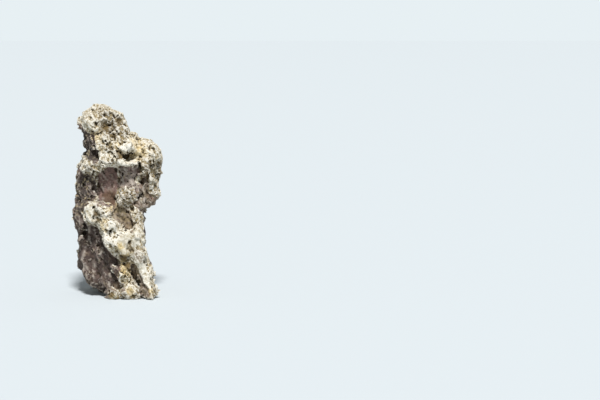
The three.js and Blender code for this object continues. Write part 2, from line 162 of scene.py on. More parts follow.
# How a viewer sees each side. Its broken faces lie further out on that side than its from.
SIDES = {
    "front": {"across": X, "outward": Y, "sign": -1, "from": -14},
    "back": {"across": X, "outward": Y, "sign": 1, "from": 4},
    "left": {"across": Y, "outward": X, "sign": -1, "from": 20},
    "right": {"across": Y, "outward": X, "sign": 1, "from": 14},
}
SIDE_FADE = 4
TURNED_TO = (0.0, 0.35)
OUT_OF_SIGHT = 40
UNBROKEN = -30.0
RAGGED = {"size": 9, "height": 2.4, "salt": 1}
FINE_RAGGED = {"size": 3.6, "height": 1.8, "salt": 2}

# A salt is a number that gives each use of the same scatter a pattern of its own.
SCATTER = (73856093, 19349663, 83492791)
SALT_SCATTER = 40503
STIRS = (2246822519, 3266489917)
LOW_BITS = 0xFFFFFFFF
BILLOW_GAIN = 1.6


def lattice(cells, salt):
    """A number from 0 to 1 for each whole-numbered place, the same in each run."""
    mixed = cells[..., X] * SCATTER[X] ^ cells[..., Y] * SCATTER[Y] ^ cells[..., Z] * SCATTER[Z]
    mixed ^= (salt + 1) * SALT_SCATTER
    mixed = (mixed & LOW_BITS) * STIRS[0] & LOW_BITS
    mixed = (mixed ^ mixed >> 15) * STIRS[1] & LOW_BITS
    return (mixed ^ mixed >> 13) / LOW_BITS


def billow(points, size, salt):
    """Smooth ups and downs of that size in millimetres, from about -1 to 1."""
    scaled = points / size
    cell = np.floor(scaled).astype(np.int64)
    part = scaled - cell
    ease = part ** 3 * (part * (part * 6 - 15) + 10)
    total = np.zeros(len(points))
    for corner in itertools.product((0, 1), repeat=3):
        slopes = [2 * lattice(cell + corner, 3 * salt + axis) - 1 for axis in range(3)]
        rise = sum(slopes[axis] * (part[:, axis] - corner[axis]) for axis in range(3))
        total += rise * np.prod(np.where(corner, ease, 1 - ease), axis=1)
    return BILLOW_GAIN * total


def waves(points, kind):
    """Smooth ups and downs in millimetres, as large and as high as their kind says."""
    return kind["height"] * billow(points, kind["size"], kind["salt"])


def ramp(values, start, end):
    """0 at start, 1 at end, and eased between."""
    share = np.clip((values - start) / (end - start), 0, 1)
    return share * share * (3 - 2 * share)


def off_line(across, up, start, end):
    """Millimetres from each point to the straight line from start to end."""
    run, rise = end[0] - start[0], end[1] - start[1]
    along = np.clip(((across - start[0]) * run + (up - start[1]) * rise) / (run ** 2 + rise ** 2), 0, 1)
    return np.hypot(across - start[0] - along * run, up - start[1] - along * rise)


def within(outline, across, up):
    """Millimetres from each point to the outline, positive inside it."""
    nearest = np.full(len(across), np.inf)
    inside = np.zeros(len(across), dtype=bool)
    for start, end in zip(outline, outline[1:] + outline[:1]):
        nearest = np.minimum(nearest, off_line(across, up, start, end))
        if start[1] != end[1]:
            crossing = start[0] + (end[0] - start[0]) * (up - start[1]) / (end[1] - start[1])
            inside ^= ((start[1] > up) != (end[1] > up)) & (across < crossing)
    return np.where(inside, nearest, -nearest)


def seen_from(name, points, normals, outline):
    """Millimetres inside an outline that is drawn as seen from that side, less where a point faces away
    or lies on the far side."""
    side = SIDES[name]
    facing = ramp(side["sign"] * normals[:, side["outward"]], *TURNED_TO)
    outwards = side["sign"] * points[:, side["outward"]]
    near_side = ramp(outwards, side["from"] - SIDE_FADE, side["from"] + SIDE_FADE)
    inside = within(outline, points[:, side["across"]], points[:, Z])
    return inside - OUT_OF_SIGHT * (1 - facing * near_side)


def bareness(points, normals):
    """Millimetres into the broken faces from their edges, and negative on the crust."""
    bare = np.full(len(points), UNBROKEN)
    for side, outlines in BROKEN_FACES.items():
        for outline in outlines.values():
            bare = np.maximum(bare, seen_from(side, points, normals, outline))
    return bare + waves(points, RAGGED) + waves(points, FINE_RAGGED)


# The crust: a shell of pale, porous limestone, a few millimetres thick, that rain has eaten into
# cups with sharp crests between them. It ends in ragged lips above the broken faces, and it is worn
# calm and nearly smooth on some slabs.
LIP = {"step": 2.0, "reach": 3.5, "over": 1.0, "under": 1.8}
GRAIN = {"lean": -38, "crust": 2.0, "face": 3.2, "hole": 1.8}
TALLEST = 2.8
SUNK = 0.4
BENDS = {"size": 10, "reach": 3.5, "salt": 20}
RAISED_BENDS = {"size": 4.5, "reach": 0.8, "salt": 24}
SUNK_BENDS = {"size": 4.5, "reach": 1.2, "salt": 24}
LUMPS = {"size": 13, "height": 1.8, "salt": 5}
CHIPS = {"spacing": 8, "height": 3.6, "salt": 7}
FINE_CHIPS = {"spacing": 4.6, "height": 2.6, "salt": 8}
CRESTS = {"size": 6.0, "height": 1.6, "salt": 9}
CREVICES = {"size": 12, "depth": 4.0, "width": 0.09, "salt": 6}
FINE_CREVICES = {"size": 7, "depth": 2.6, "width": 0.09, "salt": 28}
PITS = {"spacing": 6, "depth": 4.0, "share": 0.3, "salt": 19}
EATEN = {"size": 24, "edge": (-0.4, 0.4), "least": 0.55, "more": 0.45, "salt": 27}
SLAB_CHIPS = {"spacing": 5.5, "height": 0.7, "salt": 14}
SLAB_WAVES = {"size": 3.5, "height": 0.25, "salt": 15}
SLAB_PITS = {"spacing": 4.2, "depth": 1.1, "share": 0.3, "salt": 16}
SLAB_CREVICES = {"size": 15, "depth": 1.3, "width": 0.05, "salt": 17}
BREAKS = {
    "slab": {"spacing": 13, "share": 0.9, "step": 1.1, "salt": 60},
    "crust": {"spacing": 9, "share": 0.7, "step": 1.2, "salt": 61},
    "splinters": {"spacing": 4.4, "share": 0.9, "step": 0.9, "salt": 62},
    "fragments": {"spacing": 4.0, "share": 0.85, "step": 0.8, "salt": 63},
    "grit": {"spacing": 2.5, "share": 0.8, "step": 0.5, "salt": 64},
}

# Slabs of the front's crust, outlined as the broken faces are, with how calm and how pale each is.
SLABS = {
    "crown left": {"calm": 0.5, "pale": 0.1,
                   "outline": [(-42, 206), (-32, 214), (-20, 216), (-20, 196), (-28, 190), (-40, 192)]},
    "fan": {"calm": 0.95, "pale": 0.05, "outline": [(3, 80), (29, 76), (27, 50), (11, 47), (4, 62)]},
    "leg": {"calm": 0.9, "pale": 0.05,
            "outline": [(28, 46), (38, 43), (44, 17), (45, 3), (32, 20), (27, 36)]},
    "leg top": {"calm": 0.8, "pale": 0.0, "outline": [(21, 56), (31, 60), (38, 48), (39, 38), (24, 44)]},
    "strip": {"calm": 0.85, "pale": 0.0, "outline": [(23, 78), (31, 86), (34, 62), (25, 55)]},
    "upper strip": {"calm": 0.8, "pale": 0.0, "outline": [(25, 131), (34, 130), (32, 98), (25, 96)]},
    "ledge": {"calm": 0.7, "pale": 0.25,
              "outline": [(3, 160), (16, 162), (28, 160), (28, 153), (6, 150)]},
    "knob": {"calm": 0.85, "pale": 0.45,
             "outline": [(6, 174), (17, 183), (26, 178), (24, 170), (13, 167)]},
    "ochre slope": {"calm": 0.85, "pale": 0.6, "outline": [(21, 172), (31, 174), (33, 161), (22, 158)]},
    "middle foot": {"calm": 0.5, "pale": 0.0, "outline": [(12, 19), (28, 20), (30, 2), (14, 1)]},
    "lobe": {"calm": 0.85, "pale": 0.0, "outline": [(-10, 42), (2, 40), (14, 28), (13, 12), (-5, 16)]},
    "block": {"calm": 0.3, "pale": 0.25,
              "outline": [(-17, 168), (-4, 172), (5, 171), (7, 159), (-3, 149), (-17, 152)]},
    "head": {"calm": 0.7, "pale": 0.2,
             "outline": [(-37, 108), (-25, 113), (-21, 100), (-23, 86), (-33, 88)]},
    "ridge": {"calm": 0.25, "pale": 0.65,
              "outline": [(-23, 112), (-7, 114), (9, 84), (7, 66), (-7, 60), (-21, 84)]},
}
SLAB_FADE = (-1, 3)
CALM_PATCHES = {"size": 34, "edge": (0.05, 0.3), "turned": (-0.3, 0.2), "amount": 0.7, "salt": 52}

# Stretches that stand further towards -X or -Y than the solid, by their reach: the lip over the tall
# face, the neck and the left knuckle jut out, and the upper right shoulder is worn back.
SHIFTED = {
    "lip": {"side": "front", "axis": Y, "reach": 3.5,
            "outline": [(-18, 160), (-4, 160), (6, 157), (29, 158), (29, 150), (4, 148), (-10, 147),
                        (-18, 144)]},
    "neck": {"side": "left", "axis": X, "reach": 3.5,
             "outline": [(-34, 182), (26, 182), (26, 155), (-34, 155)]},
    "knuckle": {"side": "left", "axis": X, "reach": 0.8,
                "outline": [(-34, 107), (26, 107), (26, 79), (-34, 79)]},
    "shoulder": {"side": "right", "axis": X, "reach": 3.0,
                 "outline": [(-12, 188), (45, 188), (45, 167), (-12, 167)]},
}
SHIFT_FADE = (0, 4)

# The large single holes: x, y and z of each one's middle, its radius and its depth.
HOLES = {
    "under the knob": [(6, -31, 169, 4, 4), (8, -30, 165, 4.5, 5), (12, -26, 161, 5, 4),
                       (10, -18, 163, 5, 4)],
    "crown hollow": [(-12, -24, 191, 4.5, 5), (-9, -20, 195, 6, 6), (-5, -17, 198, 4.5, 5)],
    "crown": [(-27, -22, 206, 2.6, 3), (-21, -22, 207, 2.4, 3), (-12, -16, 208, 2.6, 3),
              (1, -14, 206, 2.6, 3), (6, -11, 201, 3.4, 4), (-37, -13, 194, 2.6, 3),
              (-17, -23, 192, 2.4, 3), (-1, -23, 183, 2.6, 3), (-13, -27, 180, 3.2, 4)],
    "block": [(-12, -32, 168, 2.6, 3), (-6, -33, 161, 2.6, 3)],
    "left of the tall face": [(-33, -25, 149, 2.8, 3), (-24, -29, 152, 2.4, 3)],
    "slot in the head": [(-20, -36, 98, 3.6, 6), (-20, -37, 93, 3.6, 6), (-19, -37, 88, 3.2, 5),
                         (-18, -37, 84, 2.6, 4)],
    "ridge": [(-10, -47, 85, 2.4, 3), (-7, -47, 79, 2, 3), (-4, -47, 74, 2.6, 3), (5, -45, 78, 2, 2),
              (-2, -47, 61, 2, 2)],
    "toe": [(44, -47, 16, 2.4, 3)],
}
HOLE_EDGE = {"size": 3, "height": 0.6, "salt": 13}
HOLE_SQUEEZE = (1.2, 0.5, 1.2)

FAR_OFF = 9.0
CREST = {"top": 0.4, "fall": 1.6}
BEARING = {"turn": 40, "rise": 2.7}
CHIP_GAIN = 1.4
PIT = {"slender": 0.85, "narrowest": 0.06, "wider": 0.26, "shuffle": 7.3, "sure": 1.1}
AGREED = (0.4, 0.7)
MOST_DRAWN = 4


def seeds(points, kind):
    """For seeds that lie scattered as far apart as their kind says: the nearest one's own number from 0
    to 1, and the way from it to each point, in spacings."""
    salt = kind["salt"]
    scaled = points / kind["spacing"]
    home = np.floor(scaled).astype(np.int64)
    nearest = np.full(len(points), FAR_OFF)
    number = np.zeros(len(points))
    way = np.zeros_like(points)
    for step in itertools.product((-1, 0, 1), repeat=3):
        cell = home + step
        spot = cell + np.stack([lattice(cell, 4 * salt + axis) for axis in range(3)], axis=1)
        distance = np.linalg.norm(scaled - spot, axis=1)
        closer = distance < nearest
        number = np.where(closer, lattice(cell, 4 * salt + 3), number)
        way = np.where(closer[:, None], scaled - spot, way)
        nearest = np.where(closer, distance, nearest)
    return number, way


def bearing(number):
    """A direction of its own for each seed's number."""
    turn = BEARING["turn"] * number
    rise = np.cos(BEARING["rise"] * turn)
    level = np.sqrt(1 - rise ** 2)
    return np.stack([level * np.cos(turn), level * np.sin(turn), rise], axis=1)


def crests(points, kind):
    """Millimetres of sharp crests with round valleys between."""
    fall = CREST["fall"] * np.abs(billow(points, kind["size"], kind["salt"]))
    return kind["height"] * (CREST["top"] - fall)


def chips(points, kind):
    """Millimetres of flat broken chips, each tipped its own way."""
    number, way = seeds(points, kind)
    return kind["height"] * (CHIP_GAIN * (way * bearing(number)).sum(axis=1))


def crevices(points, kind):
    """Millimetres that winding crevices sink each point."""
    return kind["depth"] * ramp(np.abs(billow(points, kind["size"], kind["salt"])), kind["width"], 0.0)


def pits(points, kind):
    """How deep each point lies in scattered slots, from 0 to 1. They differ in width and direction, and
    only a share of the seeds has one."""
    number, way = seeds(points, kind)
    along = (way * bearing(number)).sum(axis=1)
    reach = np.sqrt(np.maximum((way ** 2).sum(axis=1) - PIT["slender"] * along ** 2, 0))
    width = PIT["narrowest"] + PIT["wider"] * (number * PIT["shuffle"] % 1)
    present = ramp(number, 1 - kind["share"], PIT["sure"] - kind["share"])
    return np.sqrt(np.clip(1 - reach / width, 0, 1)) * present


def patches(points, kind):
    """Scattered patches with soft edges, from 0 to 1."""
    return ramp(billow(points, kind["size"], kind["salt"]), *kind["edge"])


def turned_patches(points, normals, kind):
    """Scattered patches where the surface is turned away from the front."""
    return kind["amount"] * patches(points, kind) * ramp(normals[:, Y], *kind["turned"])


def broken_flat(points, normals, laid, kind, where):
    """Draws the surface towards flat breaks, as rock splits, each a step higher or lower than the next.
    The laid places, which may be the points themselves or stretched, say where one break ends."""
    number, _ = seeds(laid, kind)
    _, group = np.unique(number, return_inverse=True)
    tally = np.bincount(group)[:, None]
    middle = np.stack([np.bincount(group, points[:, axis]) for axis in range(3)], axis=1) / tally
    facing = np.stack([np.bincount(group, normals[:, axis]) for axis in range(3)], axis=1)
    size = np.linalg.norm(facing, axis=1, keepdims=True)
    facing /= size
    agreed = ramp(size[:, 0] / tally[:, 0], *AGREED)
    gap = np.clip(((middle[group] - points) * facing[group]).sum(axis=1), -MOST_DRAWN, MOST_DRAWN)
    gap = gap * kind["share"] + kind["step"] * (2 * number - 1)
    return points + (gap * agreed[group] * where)[:, None] * facing[group]


def grained(points, lean, stretch):
    """The points squeezed along a grain in the front's plane, so that what is drawn there runs along it.
    The lean is in degrees, clockwise from upright."""
    turn = math.radians(lean)
    along = points[:, X] * math.sin(turn) + points[:, Z] * math.cos(turn)
    across = points[:, X] * math.cos(turn) - points[:, Z] * math.sin(turn)
    return np.stack([across, points[:, Y], along / stretch], axis=1)


def swept(points, kind):
    """The points drawn aside by slow drifts, so that what is laid there bends."""
    drifts = [billow(points, kind["size"], kind["salt"] + axis) for axis in range(3)]
    return points + kind["reach"] * np.stack(drifts, axis=1)


def calmness(points, normals):
    """How calm and smooth the crust is at each point, from 0 to 1."""
    calm = np.zeros(len(points))
    for slab in SLABS.values():
        inside = ramp(seen_from("front", points, normals, slab["outline"]), *SLAB_FADE)
        calm = np.maximum(calm, slab["calm"] * inside)
    return np.maximum(calm, turned_patches(points, normals, CALM_PATCHES))


def hole_depth(points):
    """Millimetres that the large single holes sink each point. They are longer along the grain."""
    deepest = np.zeros(len(points))
    uneven = waves(points, HOLE_EDGE)
    for x, y, z, radius, depth in itertools.chain.from_iterable(HOLES.values()):
        way = grained(points - (x, y, z), GRAIN["lean"], GRAIN["hole"])
        distance = np.linalg.norm(way * HOLE_SQUEEZE, axis=1) + uneven
        deepest = np.maximum(deepest, depth * np.sqrt(np.clip(1 - distance / radius, 0, 1)))
    return deepest


def crust_relief(points, calm):
    """Millimetres that weather has raised or sunk the crust."""
    bent = swept(points, BENDS)
    fine = grained(swept(points, RAISED_BENDS), GRAIN["lean"], GRAIN["crust"])
    rough = waves(bent, LUMPS)
    rough += chips(fine, CHIPS)
    rough += chips(fine, FINE_CHIPS)
    rough += crests(fine, CRESTS)
    slab = chips(fine, SLAB_CHIPS) + waves(points, SLAB_WAVES)
    return LIP["step"] / 2 + calm * slab + (1 - calm) * (rough - SUNK)


def crust_cuts(points, calm):
    """Millimetres that crevices, pits and holes sink the crust."""
    bent = swept(points, BENDS)
    fine = grained(swept(points, SUNK_BENDS), GRAIN["lean"], GRAIN["crust"])
    depth = crevices(bent, CREVICES) + crevices(fine, FINE_CREVICES)
    depth += PITS["depth"] * pits(fine, PITS)
    depth *= EATEN["least"] + EATEN["more"] * patches(points, EATEN)
    slab = SLAB_PITS["depth"] * pits(points, SLAB_PITS) + crevices(bent, SLAB_CREVICES)
    return calm * slab + (1 - calm) * depth + hole_depth(points)


# The broken faces' own relief: nearly smooth where the split was clean, chipped where it was not,
# with ribs and grooves along the grain of the rock. Deep crevices run down the overhanging column
# and round the block under the crown.
ROUGH_FACES = {
    "flank": 1.0, "left wall": 0.38, "tall face": 0.35, "grey face": 0.9, "neck": 0.4,
    "column root": 0.7, "eye": 0.35, "flank end": 1.0, "neck end": 0.8, "wall end": 0.35,
    "long break": 0.6, "great break": 0.45, "under the column": 0.8, "crown back": 0.8,
}
FACE_FADE = (-3, 3)
FRONTAL = (0.0, 0.4)
FACE_SWELLS = {"size": 10, "height": 0.5, "salt": 10}
FACE_RIPPLES = {"size": 3.5, "height": 0.25, "salt": 11}
FACE_CHIPS = {"spacing": 7, "height": 1.6, "salt": 40}
FINE_FACE_CHIPS = {"spacing": 4.2, "height": 1.0, "salt": 41}
FACE_CRESTS = {"size": 6, "height": 1.4, "salt": 42}
FACE_PITS = {"spacing": 8, "depth": 1.0, "share": 0.3, "salt": 12}
ROUGH_PITS = {"spacing": 6.5, "depth": 2.2, "share": 0.45, "salt": 43}
RIBS = {
    "height": 1.6, "width": 2.6,
    "lines": [((-36, 56), (-40, 42)), ((-40, 42), (-37, 26)), ((-36, 38), (-33, 28)),
              ((-25, 37), (-27, 16)), ((-27, 67), (-32, 60)), ((-13, 63), (-9, 57)),
              ((-7, 26), (-4, 2)), ((-16, 53), (-20, 45)), ((-29, 86), (-32, 74)),
              ((11, 148), (24, 139)), ((4, 148), (8, 138)), ((13, 138), (22, 127)),
              ((8, 136), (14, 125)), ((18, 144), (24, 133)), ((32, 128), (32, 104))],
}
DRAWN_CREVICES = {
    "column": {"depth": 4.4, "width": 2.2, "shaded": 0.8, "shaded width": 2.6,
               "lines": [((29, 154), (30, 128)), ((41, 157), (40, 149)), ((45, 151), (44, 138)),
                         ((50, 152), (51, 140)), ((37, 146), (36, 136)), ((48, 136), (49, 129))]},
    "block": {"depth": 2.6, "width": 1.8, "shaded": 0.4, "shaded width": 2.0,
              "lines": [((-20, 154), (-18, 168)), ((-18, 168), (-8, 174)), ((-8, 174), (3, 172)),
                        ((-4, 168), (4, 160))]},
}
LINE_WAVER = {"size": 4, "height": 0.5, "salt": 18}
COLUMN = {
    "outline": [(31, 158), (53, 158), (57, 128), (49, 124), (41, 130), (28, 128)], "edge": (-2, 2),
    "side": (40, 44), "bottom": (124, 132), "top": (160, 154), "underside": (0.7, 0.2),
}
COLUMN_GROOVES = [
    {"lean": 0, "stretch": 3.5, "size": 8, "depth": 3.0, "width": 0.2, "salt": 44},
    {"lean": 4, "stretch": 3, "size": 4.5, "depth": 1.6, "width": 0.2, "salt": 45},
]


def frontal(normals):
    """1 where the surface is turned to the front, and 0 where it is turned aside or away."""
    return ramp(-normals[:, Y], *FRONTAL)


def near_lines(lines, points, width):
    """1 on the lines as seen from the front, and 0 from that many millimetres off."""
    nearest = np.full(len(points), np.inf)
    for start, end in lines:
        nearest = np.minimum(nearest, off_line(points[:, X], points[:, Z], start, end))
    return ramp(nearest + waves(points, LINE_WAVER), width, 0)


def face_roughness(points, normals):
    """How roughly each point's broken face has split, from 0 to 1."""
    rough = np.zeros(len(points))
    for side, outlines in BROKEN_FACES.items():
        for name, outline in outlines.items():
            inside = ramp(seen_from(side, points, normals, outline), *FACE_FADE)
            rough = np.maximum(rough, inside * ROUGH_FACES.get(name, 0.0))
    return rough


def face_relief(points, normals, rough):
    """Millimetres that the broken faces are raised or sunk."""
    grain = grained(points, GRAIN["lean"], GRAIN["face"])
    smooth = waves(points, FACE_SWELLS) + waves(points, FACE_RIPPLES)
    broken = chips(grain, FACE_CHIPS) + chips(points, FINE_FACE_CHIPS) + crests(grain, FACE_CRESTS)
    ribs = RIBS["height"] * frontal(normals) * near_lines(RIBS["lines"], points, RIBS["width"])
    return -LIP["step"] / 2 * (1 - rough) + smooth + rough * broken + ribs


def face_cuts(points, rough):
    """Millimetres that slots sink the broken faces."""
    grain = grained(points, GRAIN["lean"], GRAIN["face"])
    slots = FACE_PITS["depth"] * pits(points, FACE_PITS)
    return slots + ROUGH_PITS["depth"] * rough * pits(grain, ROUGH_PITS)


def on_column(points, normals):
    """1 on the overhanging column's front and right side, and 0 elsewhere."""
    front = ramp(seen_from("front", points, normals, COLUMN["outline"]), *COLUMN["edge"])
    side = ramp(points[:, X], *COLUMN["side"]) * ramp(points[:, Z], *COLUMN["bottom"])
    side = side * ramp(points[:, Z], *COLUMN["top"]) * ramp(-normals[:, Z], *COLUMN["underside"])
    return np.clip(front + side, 0, 1)


def crevice_cuts(points, normals):
    """Millimetres that the column's grooves and the drawn crevices sink the surface."""
    grooves = sum(crevices(grained(points, kind["lean"], kind["stretch"]), kind) for kind in COLUMN_GROOVES)
    drawn = sum(kind["depth"] * near_lines(kind["lines"], points, kind["width"])
                for kind in DRAWN_CREVICES.values())
    return grooves * on_column(points, normals) + frontal(normals) * drawn


# The weathering itself: large breaks and the relief first, then splinters and the cuts, and last,
# on a finer mesh, fragments and grit. The level foot that the stone stands on is left as it is.
# Before each step the outward directions are steadied by that many rounds of evening out.
FOOT_FADE = (0.3, 3)
CRUST_EDGE = (-0.8, 0.8)
STEADYING = {"block": 4, "carved": 2, "cut": 4, "finished": 3}
BREAK_DRIFT = {"size": 9, "height": 2.5, "salt": 50}
SPLINTER_BENDS = {"size": 4, "reach": 0.6, "salt": 51}
GRIT_BENDS = {"size": 3, "reach": 0.5, "salt": 54}
CALMED = {"splinters": 0.5, "fragments": 0.75}
FACE_SPLINTERS = {"least": 0.2, "more": 0.8}
FINISHING_CELL = 0.8
MOST_FACES = 196000
SHARP = 30


def unit(vectors):
    """The vectors made one long."""
    return vectors / np.linalg.norm(vectors, axis=1, keepdims=True)


def splintered(points):
    """The places that say where one splinter of the rock ends."""
    return grained(swept(points, SPLINTER_BENDS), GRAIN["lean"], GRAIN["crust"])


def gritty(points):
    """The places that say where one grain of the rock's grit ends."""
    return swept(points, GRIT_BENDS)


def carve(obj):
    """Gives obj's surface its breaks, its relief and its cuts."""
    points = places(obj.data)
    pairs = links(obj.data)
    normals = unit(relax(outward(obj.data), pairs, STEADYING["block"]))
    loose = ramp(points[:, Z], *FOOT_FADE)
    bare = bareness(points, normals)
    crust = ramp(-bare, *CRUST_EDGE)
    calm = calmness(points, normals)
    rough = face_roughness(points, normals)
    slab = np.maximum(calm, 1 - crust)
    change = crust * crust_relief(points, calm) + (1 - crust) * face_relief(points, normals, rough)
    change += np.exp(-(bare / LIP["reach"]) ** 2) * (LIP["over"] * crust - LIP["under"] * (1 - crust))
    change = np.where(change > 0, TALLEST * np.tanh(change / TALLEST), change)
    cut = crust * crust_cuts(points, calm) + (1 - crust) * face_cuts(points, rough)
    cut += crevice_cuts(points, normals)

    for part in SHIFTED.values():
        inside = seen_from(part["side"], points, normals, part["outline"])
        points[:, part["axis"]] -= part["reach"] * ramp(inside, *SHIFT_FADE)
    drifted = points + waves(points, BREAK_DRIFT)[:, None] * normals
    points = broken_flat(points, normals, drifted, BREAKS["slab"], slab * loose)
    points = broken_flat(points, normals, drifted, BREAKS["crust"], (1 - slab) * loose)
    put_places(obj.data, points + normals * (change * loose)[:, None])

    points = places(obj.data)
    normals = unit(relax(outward(obj.data), pairs, STEADYING["carved"]))
    where = loose * np.maximum(crust * (1 - CALMED["splinters"] * calm), rough)
    points = broken_flat(points, normals, splintered(points), BREAKS["splinters"], where)
    points -= unit(relax(normals, pairs, STEADYING["cut"])) * (cut * loose)[:, None]
    points[:, Z] = np.maximum(points[:, Z], 0)
    put_places(obj.data, points)


def drop_crumbs(obj):
    """Deletes every loose shell but the largest."""
    mesh = bmesh.new()
    mesh.from_mesh(obj.data)
    unseen = set(mesh.verts)
    shells = []
    while unseen:
        shell = [unseen.pop()]
        for vertex in shell:
            for edge in vertex.link_edges:
                other = edge.other_vert(vertex)
                if other in unseen:
                    unseen.remove(other)
                    shell.append(other)
        shells.append(shell)
    shells.sort(key=len)
    for shell in shells[:-1]:
        bmesh.ops.delete(mesh, geom=shell, context="VERTS")
    mesh.to_mesh(obj.data)
    mesh.free()


def splinter(obj):
    """Breaks obj's surface up into small flat facets, as stone splits."""
    points = places(obj.data)
    pairs = links(obj.data)
    normals = unit(relax(outward(obj.data), pairs, STEADYING["finished"]))
    crust = ramp(-bareness(points, normals), *CRUST_EDGE)
    calm = calmness(points, normals)
    split = FACE_SPLINTERS["least"] + FACE_SPLINTERS["more"] * face_roughness(points, normals)
    where = ramp(points[:, Z], *FOOT_FADE) * np.maximum(crust * (1 - CALMED["fragments"] * calm), split)
    points = broken_flat(points, normals, splintered(points), BREAKS["fragments"], where)
    points = broken_flat(points, normals, gritty(points), BREAKS["grit"], where)
    points[:, Z] = np.maximum(points[:, Z], 0)
    put_places(obj.data, points)


carve(stone)
remesh(stone, FINISHING_CELL)
drop_crumbs(stone)
splinter(stone)
thinning = stone.modifiers.new("fewer faces", "DECIMATE")
thinning.ratio = min(1, MOST_FACES / (2 * len(stone.data.polygons)))
thinning.use_collapse_triangulate = True
settle(stone)
stone.data.shade_smooth()
stone.data.set_sharp_from_angle(angle=math.radians(SHARP))


# Colour: the crust is cream, with ochre where iron has run down the hollows. Near white on its crests
# is a painted highlight, and the dark brown in its pits and hollows is painted shade. The bare faces
# are purple-brown, and greyer where they are old. Each stain and each spot of painted shade has x, y
# and z of its middle, and its radius.
STAINS = [
    (12, -22, 166, 6), (-11, -36, 87, 7), (9, -44, 60, 6), (11, -40, 36, 8), (21, -36, 31, 8),
    (-1, -43, 2, 5), (20, -43, 9, 5), (31, -20, 135, 5), (-1, -30, 105, 6), (-22, -18, 185, 7),
    (30, -14, 167, 9), (-11, -44, 84, 6), (49, -12, 136, 5), (13, -44, 49, 6), (-15, -18, 182, 5),
    (5, -25, 174, 4), (41, -47, 8, 5), (21, -8, 178, 8), (26, -20, 166, 9),
]
STAIN = {"shape": (1, 0.6, 1), "spread": 1.6}
STAIN_EDGE = {"size": 9, "height": 0.3, "salt": 30}
# Spots of painted shade, warm brown: in the leg's shadow, under the knob, in the crown's hollows, the
# cavity above the leg and the slot in the head; the two low at the front darken the toe.
SHADE_SPOTS = [
    (22, -32, 36, 5), (25, -29, 28, 5.5), (29, -36, 20, 5.5), (34, -42, 13, 4.5), (37, -46, 8, 4),
    (8, -28, 163, 6), (6, -31, 168, 5), (13, -22, 161, 5.5), (4, -14, 203, 5), (-1, -23, 186, 5),
    (-9, -21, 195, 8), (11, -40, 47, 7), (16, -38, 38, 6), (-4, -44, 5, 5), (3, -44, 0, 4.5),
    (-20, -36, 97, 4.5), (-19, -37, 89, 4.5), (29, -20, 150, 4), (-25, -18, 163, 8),
]
SPOT_OF_SHADE = {"shape": (1, 0.5, 1), "edge": (0.0, 0.6)}
SHADE_SPOT_EDGE = {"size": 5, "height": 1.5, "salt": 35}
RUST_PATCH = {"middle": (-6, -20, 113), "radius": 11, "spread": 1.4}
RUST_EDGE = {"size": 6, "height": 0.25, "salt": 31}

# Worn, brownish stretches of the front's crust, outlined as the broken faces are.
WORN = {
    "lobe": {"amount": 0.5, "outline": [(-10, 42), (2, 40), (14, 28), (13, 12), (-5, 16)]},
    "column": {"amount": 0.85, "outline": [(29, 156), (54, 154), (58, 104), (31, 104)]},
    "crust band": {"amount": 0.85,
                   "outline": [(-1, 124), (10, 129), (31, 131), (31, 106), (-1, 104)]},
    "crown": {"amount": 0.85, "outline": [(-18, 214), (7, 208), (19, 187), (9, 181), (-18, 185)]},
    "left crust": {"amount": 0.7,
                   "outline": [(-45, 150), (-29, 162), (-19, 150), (-25, 130), (-43, 138)]},
    "tongue": {"amount": 0.8, "outline": [(-25, 140), (-17, 146), (-17, 124), (-25, 124)]},
    "strip head": {"amount": 0.8, "outline": [(24, 118), (36, 118), (36, 94), (24, 94)]},
    "foot": {"amount": 1.0, "outline": [(-9, 12), (49, 14), (49, -4), (-9, -4)]},
    "cavity": {"amount": 0.2, "outline": [(4, 50), (22, 50), (26, 30), (24, 16), (14, 14), (6, 30)]},
    "leg top": {"amount": 1.0, "outline": [(21, 56), (31, 60), (38, 48), (39, 38), (24, 44)]},
}
WORN_FADE = (-2, 4)
WORN_PATCHES = {"size": 30, "edge": (0.0, 0.5), "turned": (-0.5, 0.2), "amount": 0.3, "salt": 33}
PALE_FADE = (-2, 3)

# How far each broken face departs from the plain purple. The dark tint is partly the rock's own
# darker colour and partly painted shade, on the neck under the crown and in the leg's shadow.
TINTS = {
    "grey": {"grey face": 1.0, "tall face": 0.05, "flank": 0.4, "neck": 0.3, "long break": 0.5,
             "great break": 0.2},
    "brown": {"eye": 1.0, "column root": 0.6, "leg shadow": 0.8, "lobe hollow": 0.6,
              "under the column": 0.4},
    "dark": {"flank": 0.95, "leg shadow": 0.35, "neck": 1.0, "flank end": 0.8, "neck end": 0.9,
             "left wall": 0.8, "wall end": 0.6, "column root": 0.5},
}
TINT_EDGE = {"size": 9, "height": 2, "salt": 32}
RIB_GAPS = {"size": 6, "edge": (-0.3, 0.4), "salt": 34}
ROUNDS = {"broad": 12, "near": 6, "far": 40}


def paint(obj, name, values):
    """Keeps a value for each vertex, for the material to read by its name."""
    attribute = obj.data.attributes.new(name, "FLOAT", "POINT")
    attribute.data.foreach_set("value", values.astype(np.float32))


def outlined(points, normals, kinds, amount, fade):
    """The amount that the outlines give each point, as seen from the front."""
    most = np.zeros(len(points))
    for kind in kinds.values():
        inside = ramp(seen_from("front", points, normals, kind["outline"]), *fade)
        most = np.maximum(most, kind[amount] * inside)
    return most


def stained(points):
    """How much iron has stained each point."""
    most = np.zeros(len(points))
    for x, y, z, radius in STAINS:
        distance = np.linalg.norm((points - (x, y, z)) * STAIN["shape"], axis=1)
        most = np.maximum(most, 1 - distance / (STAIN["spread"] * radius))
    return most + waves(points, STAIN_EDGE)


def rusty(points):
    """How much rust there is at each point."""
    distance = np.linalg.norm(points - RUST_PATCH["middle"], axis=1)
    return 1 - distance / (RUST_PATCH["spread"] * RUST_PATCH["radius"]) + waves(points, RUST_EDGE)


